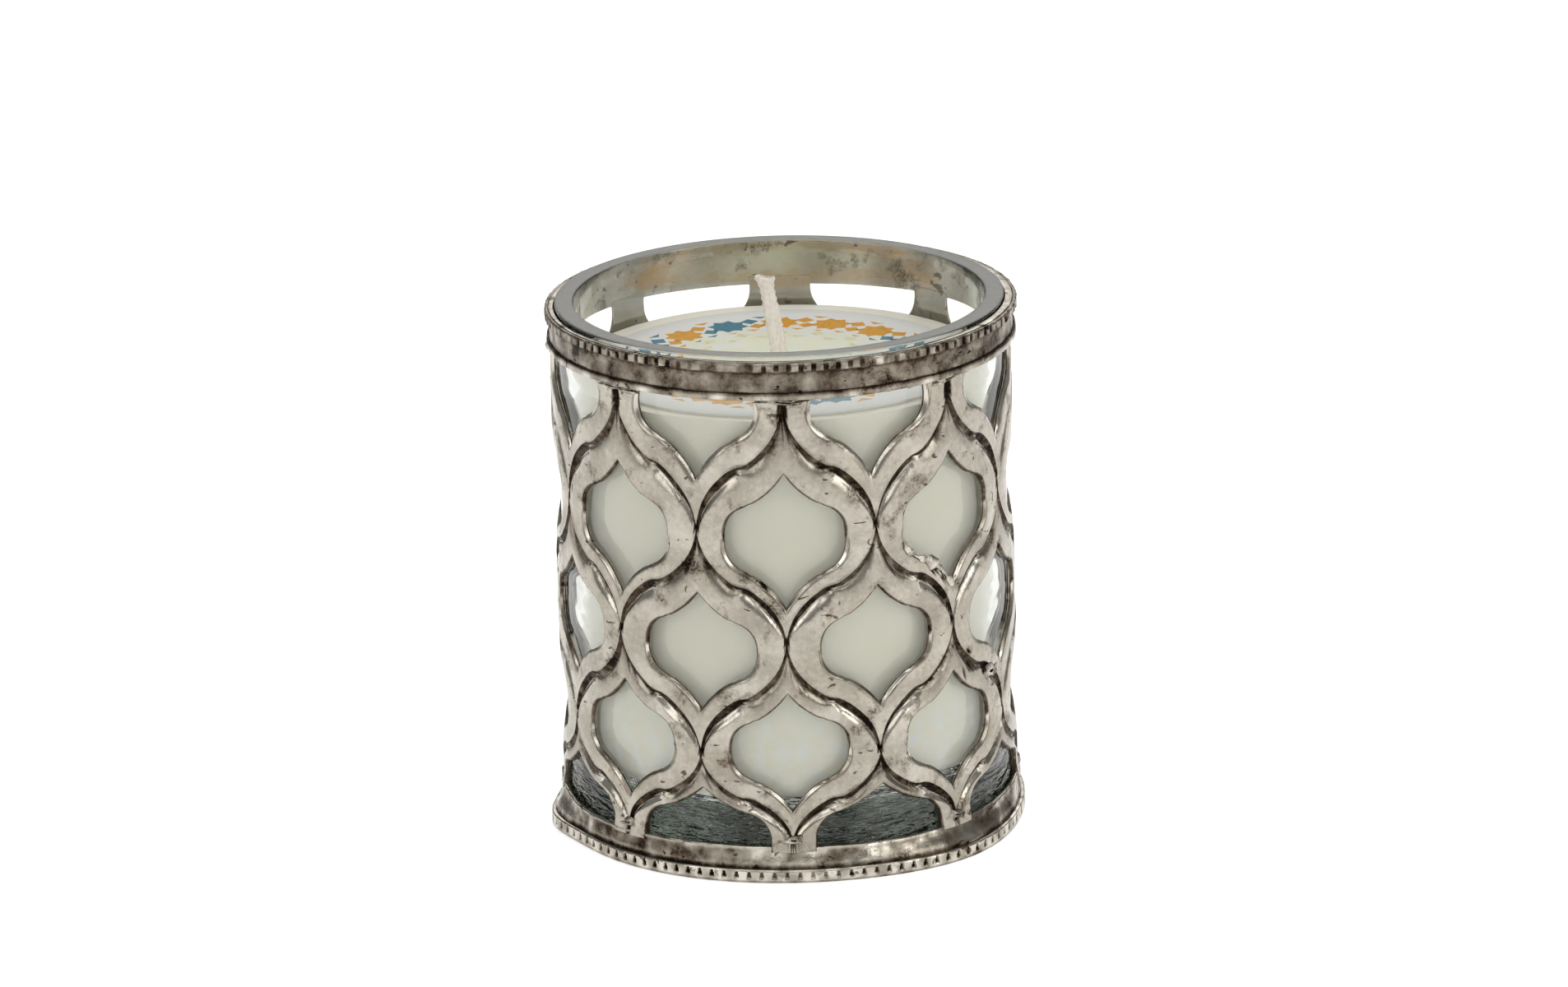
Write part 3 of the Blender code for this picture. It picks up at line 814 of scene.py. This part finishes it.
def buildRim(finish, bandFinish):
    def bandShape(radius, height, angle):
        outside = smooth((radius - rim["outer"] + 0.3) / 0.25)
        upward = (height - rim["low"]) / (rim["high"] - rim["low"])
        worked = 0.05 * ripple(angle, height, 21, 5.0) + 0.02 * ripple(angle, height, 22, 1.8)
        hollow = 0.12 * np.sin(np.pi * np.clip(upward, 0, 1))
        tight = (1 - smooth((radius - rim["inner"]) / 1.0)) * rim["shift"] * np.sin(angle)
        brown = 0.50 + 0.14 * ripple(angle, height, 23, 5.0) + 0.3 * bell(height - rim["wireLow"], 0.5)
        cloudy = 0.04 + 0.07 * ripple(angle, height, 25, 12.0)
        streak = smooth((ripple(angle, 2.2 * height, 24, 13.0) - 1.5) / 0.5)
        height = height - bumps(angle, rim["dips"]) * (1 - smooth(2 * upward))
        inside = np.where(height > rim["high"] - 0.15, 0.10, cloudy + 0.55 * streak)
        return radius - (worked + hollow) * outside - tight, height, outside * brown + (1 - outside) * inside

    def beadShape(radius, height, angle):
        upward = (height - rim["wireLow"]) / (rim["wireHigh"] - rim["wireLow"])
        outside = smooth((radius - rim["outer"] - 0.15) / 0.35)
        wear = smooth(0.55 + 0.8 * ripple(angle, 0 * height, 33, 30.0))
        gap = milled(angle, rim["beads"], 0.36) * outside * np.exp(-((upward - 0.52) / 0.36) ** 4)
        bite = gap * (0.12 + 0.88 * wear)
        worked = 0.06 * ripple(angle, height, 34, 2.0)
        dark = bite * 0.62 + 0.38 + 0.24 * bell(upward - 0.10, 0.10) * outside
        dark = dark + 0.18 * ripple(angle, height, 35, 4.0) * outside
        return radius - rim["beadDepth"] * bite - worked * outside, height, dark

    def plainShape(radius, height, angle):
        outside = smooth((radius - rim["outer"] - 0.05) / 0.25)
        worked = 0.05 * ripple(angle, height, 36, 6.0)
        upward = (height - rim["plainLow"]) / (rim["plainHigh"] - rim["plainLow"])
        dark = 0.25 + 0.5 * bell(upward - 1.0, 0.3) + 0.18 * ripple(angle, height, 37, 5.0)
        return radius - worked * outside, height, dark

    onBand = rim["outer"] - band["inset"]
    box = roundedBox(rim["inner"], rim["outer"], rim["low"], rim["high"], rim["corner"])
    bandLine = refine(box, 0.5)
    box = roundedBox(onBand, rim["wireOut"], rim["wireLow"], rim["wireHigh"], rim["wireCorner"])
    beadLine, count = refine(box, 0.28), rim["beads"] * band["pointsPerTooth"]
    box = roundedBox(onBand, rim["plainOut"], rim["plainLow"], rim["plainHigh"], rim["plainCorner"])
    plainLine, shift = refine(box, 0.3), rim["shift"]
    buildTurned("rimBand", "rim_band", bandLine, 360, 31, bandFinish, shift, bandShape, rim["clear"])
    buildTurned("rimMilledWire", "rim_milled_wire", beadLine, count, 31, finish, shift, beadShape)
    buildTurned("rimPlainWire", "rim_plain_wire", plainLine, 300, 31, finish, shift, plainShape)


def buildFoot(finish, bandFinish):
    def bandShape(radius, height, angle):
        outside = smooth((radius - foot["inner"] - 0.3) / 0.4) * smooth((height - 0.3) / 0.5)
        worked = 0.09 * ripple(angle, height, 41, 5.0) + 0.03 * ripple(angle, height, 42, 1.8)
        upward = height / foot["high"]
        flare = (0.30 + bumps(angle, foot["bends"])) * smooth((0.98 - upward) / 0.62) * outside
        rolled = 0.16 * bell(upward - 0.93, 0.06) * outside
        smudge = 0.20 + 0.20 * ripple(angle, height, 43, 8.0) + 0.12 * ripple(angle, height, 44, 2.6)
        smudge = smudge + bumps(angle, foot["dark"])
        strip = 1 - 0.55 * bell(upward - 0.47, 0.05)
        # a painted highlight: the band's top edge is painted much lighter along its rolled edge
        dark = outside * smudge * strip * (1 - 0.85 * smooth((upward - 0.87) / 0.06)) + 0.10
        dark = dark + 0.55 * outside * bell(height - foot["flangeHigh"] - 0.05, 0.30)
        atEdge = smooth((upward - 0.5) / 0.5) * smooth((radius - foot["inner"] + 1.0) / 0.5)
        return radius - worked * outside + flare + rolled, height - bumps(angle, foot["dips"]) * atEdge, dark

    def toothShape(radius, height, angle):
        upward = height / foot["flangeHigh"]
        outside = smooth((radius - foot["outer"] - 0.35) / 0.4)
        notch = milled(angle, foot["teeth"], 0.56 - 0.50 * np.clip(upward, 0, 1))
        cutHeight = smooth((upward - 0.36) / 0.07) * (1 - smooth((upward - 0.80) / 0.1))
        wear = (0.85 + 0.35 * ripple(angle, 0 * height, 53, 50.0)).clip(0.25, 1)
        bite = notch * cutHeight * outside * wear
        dark = bite * 0.95 + 0.10 + 0.35 * outside * smooth((0.22 - upward) / 0.06)
        dark = dark + 0.12 * ripple(angle, height, 54, 4.0) * outside
        dark = dark + 0.30 * bell(radius - foot["outer"] - 0.2, 0.3)
        bent = bumps(angle, foot["bends"])
        return radius - foot["toothDepth"] * bite + bent, np.maximum(height, 0.02), dark

    corner = foot["corner"]
    outline = np.array([
        (foot["lipInner"], foot["low"] + 0.05), (foot["outer"] - corner, foot["low"] + 0.02),
        (foot["outer"], foot["low"] + corner), (foot["outer"], foot["high"] - corner),
        (foot["outer"] - 0.1, foot["high"] - 0.06), (foot["outer"] - corner, foot["high"]),
        (foot["inner"] + corner, foot["high"]), (foot["inner"], foot["high"] - corner),
        (foot["inner"], foot["lipTop"] + 0.3), (foot["inner"] - 0.3, foot["lipTop"]),
        (foot["lipInner"], foot["lipTop"]),
    ])
    buildTurned("footBand", "foot_band", refine(outline, 0.6), 360, 51, bandFinish, 0.0, bandShape)
    onBand = foot["outer"] - band["inset"]
    box = roundedBox(onBand, foot["flangeOut"], foot["flangeLow"], foot["flangeHigh"], foot["flangeCorner"])
    toothLine, count = refine(box, 0.22), foot["teeth"] * band["pointsPerTooth"]
    buildTurned("footMilledFlange", "foot_milled_flange", toothLine, count, 51, finish, 0.0, toothShape)


# solder

# millimetres, with a height, half width, half height and how far proud for each kind of joint
solder = {
    "rim": (88.45, 4.4, 0.62, 0.72),
    "foot": (7.6, 2.2, 0.8, 0.55),
    # the sheet's ends meet here: degrees from the front, then as above
    "lowerSeam": (61.0, (31.4, 2.6, 1.3, 0.34)),
    # a run along an opening's lower left edge: row, column, shares of the edge, half thickness
    "upperSeam": (0, 1, (-0.10, 0.86), 1.0),
    "inset": 0.12, "rings": 15, "spokes": 40, "runSteps": 90, "runSpokes": 20,
}


def buildSolder(name, node, arc, size, seed, finish):
    # a pebble: a round grid from pole to pole, flattened to size, wrapped on the sheet and made lumpy
    level, wide, tall, proud = size
    polar = np.linspace(0, np.pi, solder["rings"])[:, None]
    around = np.linspace(0, 2 * np.pi, solder["spokes"], endpoint=False)[None, :]
    x = np.sin(polar) * np.cos(around)
    y = np.sin(polar) * np.sin(around)
    z = np.cos(polar) + 0 * around
    phase = np.random.default_rng(seed).uniform(0, 2 * np.pi, 6)
    wavy = 0.16 * np.sin(3 * around + phase[0]) + 0.10 * np.sin(7 * around + phase[1])
    lump = 1 + wavy * np.sin(polar)
    lump = lump + 0.13 * np.sin(5 * x + phase[2]) + 0.10 * np.sin(9 * x + phase[3]) * np.cos(4 * y + phase[4])
    flatArc = arc + wide * np.sign(x) * np.abs(x) ** 0.8 * lump
    height = level + tall * y * lump + 0.25 * np.sin(2.5 * x + phase[5])
    radius = sheet["outer"] - solder["inset"] + proud * np.where(z > 0, z * lump, 0.25 * z)
    points = onCylinder(radius, flatArc, height).reshape(-1, 3) * mm
    faces = gridFaces(*z.shape, columnsClosed=True)
    addPiece(name, points, faces, [finish], "sleeve", [node], sharp=80)


def buildRun(finish):
    # a run of melted solder: a round section swept along the opening's edge, swelling and thinning like drops
    row, column, (start, end), thick = solder["upperSeam"]
    upper, level, lower, halfWidth = sheet["rows"][row]
    share = np.linspace(start, end, solder["runSteps"])
    outline = openingLine(np.abs(share), lower, level, halfWidth)
    center = column * 2 * math.pi * sheet["radius"] / sheet["columns"]
    arc, height = center - outline[:, 0] * np.sign(share), outline[:, 1] - 0.25
    along = np.linspace(0, 1, len(share))
    swell = 0.50 + 0.34 * np.sin(15 * along + 0.2) + 0.16 * np.sin(37 * along + 2.0)
    swell = swell + 0.10 * np.sin(71 * along)
    swell = swell.clip(0.16, 1.1) * np.sqrt(np.sin(np.pi * along).clip(0, 1)) + 0.01
    around = np.linspace(0, 2 * np.pi, solder["runSpokes"], endpoint=False)[None, :]
    size = (thick * swell)[:, None]
    heading = np.arctan2(np.gradient(height), np.gradient(arc))[:, None]
    offset = 1.25 * size * np.cos(around) * (1 + 0.12 * np.sin(3 * around + 30 * along[:, None]))
    radius = sheet["outer"] + 0.05 + 0.7 * size * np.sin(around)
    arc, height = arc[:, None] - offset * np.sin(heading), height[:, None] + offset * np.cos(heading)
    points = onCylinder(radius, arc, height)
    faces = gridFaces(*points.shape[:2], columnsClosed=True)
    addPiece(
        "seamSolderUpper", points.reshape(-1, 3) * mm, faces, [finish], "sleeve", ["seam_solder_upper"],
        fill=True, sharp=80,
    )


def buildJoints(finish, dullFinish):
    for column in range(sheet["columns"]):
        number = column + 1
        for end, row, firstSeed in (("rim", 0, 60), ("foot", 4, 80)):
            arc = crossing(row, column)[0]
            node, seed = f"{end}_solder_{number}", firstSeed + column
            buildSolder(f"{end}Solder{number}", node, arc, solder[end], seed, dullFinish)
    degrees, size = solder["lowerSeam"]
    arc = math.radians(degrees) * sheet["radius"]
    buildSolder("seamSolderLower", "seam_solder_lower", arc, size, 99, dullFinish)
    buildRun(finish)


# glass, wax, wick and disc

glassLow, glassHigh = (np.array(corner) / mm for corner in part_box("glass_tumbler"))
glass = {
    "radius": glassHigh[0], "wall": 3.3, "low": glassLow[2], "floor": 12.3, "dome": 1.1, "top": glassHigh[2],
    "heel": 2.2, "fillet": 3.6, "ease": 0.35, "puntRadius": 29.0, "puntHigh": 0.9, "ground": 0.12,
    "spokes": 192,
}
# the wax keeps a hair's breadth clear of the glass
wax = {"top": 83.7, "clear": 0.06, "meniscus": 0.5, "hole": 0.9, "holeDeep": (3.0, 3.2), "spokes": 160}
disc = {"radius": 33.2, "hole": 4.6, "low": 83.55, "thick": 0.4, "corner": 0.06, "spokes": 144}
wick = {
    "top": 99.6, "lean": 2.5, "half": (1.45, 0.68), "flare": 0.3, "braid": 0.05, "braidTurn": 5.2,
    "spokes": 36,
}


def quarterTurn(centerR, centerZ, size, start, steps=7):
    # a quarter circle as radius and height, from the start angle in degrees
    turn = np.radians(start) + np.linspace(0, np.pi / 2, steps)
    return np.stack([centerR + size * np.cos(turn), centerZ + size * np.sin(turn)], -1)


def buildGlass(finish, rimFinish):
    # turned from its outline: from the punt up the outside, over the rim, down inside, in to the domed floor
    g = glass
    inner = g["radius"] - g["wall"]
    punt = np.linspace(0, 1, 9)
    puntLine = np.stack([g["puntRadius"] * punt, g["low"] + g["puntHigh"] * (1 - smooth(punt))], -1)
    inward = np.linspace(0, 1, 8)[1:]
    floorLine = np.stack([(inner - g["fillet"]) * (1 - inward), g["floor"] + g["dome"] * smooth(inward)], -1)
    wallOut = np.linspace(g["low"] + g["heel"], g["top"] - g["ease"], 26)[1:-1]
    wallIn = np.linspace(g["top"] - g["ease"], g["floor"] + g["fillet"], 22)[1:-1]
    outline = np.concatenate([
        puntLine,
        quarterTurn(g["radius"] - g["heel"], g["low"] + g["heel"], g["heel"], -90),
        np.stack([np.full_like(wallOut, g["radius"]), wallOut], -1),
        quarterTurn(g["radius"] - g["ease"], g["top"] - g["ease"], g["ease"], 0, 4),
        quarterTurn(inner + g["ease"], g["top"] - g["ease"], g["ease"], 90, 4),
        np.stack([np.full_like(wallIn, inner), wallIn], -1),
        quarterTurn(inner - g["fillet"], g["floor"] + g["fillet"], g["fillet"], -90)[::-1],
        floorLine,
    ])
    radius, height, angle = turnedGrid(outline, g["spokes"])
    made = addPiece(
        "glassTumbler", fromTurned(radius, height, angle) * mm, gridFaces(*radius.shape, columnsClosed=True),
        [finish, rimFinish], "glass", ["glass_tumbler"], sharp=50,
    )
    centers = np.empty(len(made.data.polygons) * 3)
    made.data.polygons.foreach_get("center", centers)
    ground = centers.reshape(-1, 3)[:, 2] > (g["top"] - g["ground"]) * mm
    made.data.polygons.foreach_set("material_index", ground.astype(np.int32))


def buildWax(finish):
    # turned from its outline, which follows the glass, climbs it at the top and has a pocket for the wick
    g = glass
    outside, floorZ = g["radius"] - g["wall"] - wax["clear"], g["floor"] + wax["clear"]
    share = np.linspace(0, 1, 18)
    reach = wax["hole"] + (outside - wax["hole"]) * share
    climb = wax["meniscus"] * np.exp((share - 1) * 22) - 0.15 * np.exp(-share * 6)
    topLine = np.stack([reach, wax["top"] - 0.35 + climb], -1)[::-1]
    holeLine = np.array([(r, wax["top"] - deep) for r, deep in zip((wax["hole"], 0.0), wax["holeDeep"])])
    inward = np.linspace(1, 0, 8)
    bottomLine = np.stack([(outside - g["fillet"]) * (1 - inward), floorZ + g["dome"] * smooth(inward)], -1)
    corner = quarterTurn(outside - g["fillet"], floorZ + g["fillet"], g["fillet"], -90)
    wallZ = np.linspace(floorZ + g["fillet"], topLine[0, 1], 30)[1:-1]
    wall = np.stack([np.full_like(wallZ, outside), wallZ], -1)
    outline = np.concatenate([bottomLine, corner, wall, topLine, holeLine])
    radius, height, angle = turnedGrid(outline, wax["spokes"])
    addPiece(
        "waxFill", fromTurned(radius, height, angle) * mm, gridFaces(*radius.shape, columnsClosed=True),
        [finish], "glass", ["wax_fill"], sharp=50,
    )


def buildWick(finish):
    # a flat oval tube along a leaning path, its sides braided by two crossing waves, its tip spread and cut
    low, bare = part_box("wick")[0][2] / mm, wax["top"] - 1
    heights = np.concatenate([np.linspace(low, bare, 6)[:-1], np.linspace(bare, wick["top"], 70)])[:, None]
    up = np.clip((heights - wax["top"]) / (wick["top"] - wax["top"]), 0, 1)
    spread = 1 + wick["flare"] * smooth((up - 0.86) / 0.12) - 0.10 * smooth((up - 0.5) / 0.3)
    around = np.linspace(0, 2 * np.pi, wick["spokes"], endpoint=False)[None, :]
    twist = wick["braidTurn"] * heights
    braid = 1 + wick["braid"] * np.cos(4 * around + twist) + wick["braid"] * np.cos(4 * around - twist)
    c, s = np.cos(around), np.sin(around)
    halfX, halfY = (half * (spread * braid) for half in wick["half"])
    x = -wick["lean"] * up ** 1.15 + halfX * np.sign(c) * np.abs(c) ** 0.7
    y = halfY * np.sign(s) * np.abs(s) ** 0.8
    z = heights + 0 * around + np.where(heights == heights[-1], 0.22 * np.cos(3 * around) - 0.1, 0)
    flat = 0 * x[0]
    low, top = (np.stack([x[k].mean() + flat, y[k].mean() + flat, heights[k] + flat], -1) for k in (0, -1))
    points = np.concatenate([low[None], np.stack([x, y, z], -1), top[None]])
    faces = gridFaces(*points.shape[:2], columnsClosed=True)
    points = points.reshape(-1, 3) * mm
    addPiece("candleWick", points, faces, [finish], "glass", ["wick"], sharp=60)


# the printed ring: millimetres from the middle, and sizes of its tiles
tiles = {
    "stations": 16, "ring": 24.4, "star": 3.75, "notch": 0.74, "square": 1.085, "inkThick": 0.03,
    "inner": 17.8, "triangle": ((-1.5, 0.0), (1.5, 0.0), (0.0, -1.1)),
    "order": ("ochre", "blue", "ochre", "blue", "plain", "blue", "ochre", "ochre"),
}


def buildDisc(finish, inks):
    # a round card with a hole, turned from a thin rounded rectangle, with its print
    low, high = disc["low"], disc["low"] + disc["thick"]
    profile = refine(roundedBox(disc["hole"], disc["radius"], low, high, disc["corner"], 3), 3.0)
    radius, height, angle = turnedGrid(profile, disc["spokes"])
    faces = gridFaces(*radius.shape, rowsClosed=True, columnsClosed=True)
    points = fromTurned(radius, height, angle) * mm
    addPiece("dustDisc", points, faces, [finish], "disc", ["dust_disc"])
    buildPrint(inks)


def starOutline(size, notch, points=8):
    # an even star: corners at size, and between them corners at notch times size
    turn = np.arange(2 * points) * np.pi / points
    reach = np.where(np.arange(2 * points) % 2 == 0, size, size * notch)
    return np.stack([reach * np.cos(turn), reach * np.sin(turn)], -1)


def placedOutline(outline, ring, turn, spin=0.0):
    # an outline turned by spin, then carried out to the ring at an angle from the front
    c, s = math.cos(spin), math.sin(spin)
    local = outline @ np.array([[c, s], [-s, c]])
    out, side = ring + local[:, 1], local[:, 0]
    c, s = math.cos(turn), math.sin(turn)
    return np.stack([out * s + side * c, side * s - out * c], -1)


def addPrint(name, outlines, finish):
    # each outline becomes a thin closed plate of ink on the card
    low = disc["low"] + disc["thick"] - 0.01
    corners, faces = [], []
    for outline in outlines:
        count, start = len(outline), len(corners)
        for height in (low, low + tiles["inkThick"]):
            corners += [(x * mm, y * mm, height * mm) for x, y in outline]
        ring = list(range(start, start + count))
        faces += [ring[::-1], [k + count for k in ring]]
        faces += [[a, b, b + count, a + count] for a, b in zip(ring, ring[1:] + ring[:1])]
    mesh = bpy.data.meshes.new(name)
    mesh.from_pydata(corners, [], faces)
    finishPiece(name, mesh, [finish], "disc", [])


def buildPrint(inks):
    # stars round a ring, with squares and triangles in the gaps, and a fainter ring of straw tiles inside
    step = 2 * math.pi / tiles["stations"]
    square = np.array([(-1, -1), (1, -1), (1, 1), (-1, 1)]) * tiles["square"]
    triangle = np.array(tiles["triangle"])
    star = starOutline(tiles["star"], tiles["notch"])
    order, eighth, quarter = tiles["order"], math.pi / 8, math.pi / 4
    outlines = {"ochre": [], "blue": [], "straw": []}
    for station in range(tiles["stations"]):
        color, following = (order[k % len(order)] for k in (station, station + 1))
        between = color if color != "plain" else following
        other = following if following != "plain" else color
        # color, outline, distance from the big ring, steps round from this station, spin
        parts = [
            (between, square, -1.5, 0.46, quarter), (other, square * 1.1, 1.7, 0.54, quarter),
            (other, triangle, 4.4, 0.32, 0), (between, triangle * 0.8, -3.7, 0.6, 0),
            (other, triangle * 0.6, -4.3, 0.1, 0),
            ("straw", square * 0.9, tiles["inner"] - tiles["ring"], 0, quarter),
            ("straw", triangle * 1.3, tiles["inner"] - tiles["ring"] - 1.6, 0.5, 0),
        ]
        if color != "plain":
            parts.append((color, star, 0, 0, eighth))
        for ink, outline, out, around, spin in parts:
            outlines[ink].append(placedOutline(outline, tiles["ring"] + out, (station + around) * step, spin))
    for color, shapes in outlines.items():
        addPrint(f"discPrint{color.capitalize()}", shapes, inks[color])


# the scene is made here

print("stage: camera and light")
addCamera(camera)
addLights(light)

print("stage: materials")
sheetSilver = silverMaterial("old_silver_sheet", 0.55)
bandSilver = silverMaterial("old_silver_band", 0.5, 1.6)
brightSolder = solderMaterial("bright_solder_finish", 1.0)
dullSolder = solderMaterial("dull_solder_finish", 0.3)
clearGlass = glassMaterial()
groundGlass = speckledMaterial(
    "ground_glass_finish", (900, 4, 0.6), ((0.3, (0.74, 0.75, 0.70)), (0.7, (0.88, 0.89, 0.84))),
    0.42, 0.00003, IOR=1.5, Transmission_Weight=0.8,
)
ivoryWax = waxMaterial()
waxedCotton = speckledMaterial(
    "waxed_cotton_finish", (2400, 4, 0.6, (1, 1, 0.25)),
    ((0.35, (0.86, 0.80, 0.72)), (0.6, (0.97, 0.93, 0.87))), 0.6, 0.00008, Sheen_Weight=0.2,
)
padFoam = speckledMaterial(
    "pad_foam_finish", (3000, 3, 0.6), ((0.3, (0.78, 0.78, 0.75)), (0.7, (0.9, 0.9, 0.88))), 0.85, 0.00006,
)
litFloor = speckledMaterial(
    "studio_floor_finish", (30, 3, 0.5), ((0.3, (0.93, 0.93, 0.925)), (0.7, (0.95, 0.95, 0.945))), 0.7,
    Emission_Color=(1.0, 1.0, 1.0, 1.0), Emission_Strength=0.54,  # a softly lit table
)
inks = {
    "ochre": inkMaterial("ochre_ink", (0.86, 0.43, 0.055)),
    "blue": inkMaterial("blue_ink", (0.095, 0.28, 0.37)),
    "straw": inkMaterial("straw_ink", (0.87, 0.85, 0.55)),
}

print("stage: sleeve")
buildSheet(sheetSilver)
buildRim(sheetSilver, bandSilver)
buildFoot(sheetSilver, bandSilver)
buildJoints(brightSolder, dullSolder)

print("stage: glass, candle and disc")
buildGlass(clearGlass, groundGlass)
buildWax(ivoryWax)
buildWick(waxedCotton)
buildDisc(cardMaterial(), inks)
for node, finish in (("wick_sustainer", steelMaterial()), ("sustainer_pad", padFoam)):
    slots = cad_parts[node].data.materials
    slots.clear()
    slots.append(finish)

print("stage: floor")
bpy.ops.mesh.primitive_plane_add(size=12.0)
floor = bpy.context.object
floor.name = "studioFloor"
floor.data.materials.append(litFloor)
bpy.context.scene.view_settings.view_transform = "Standard"
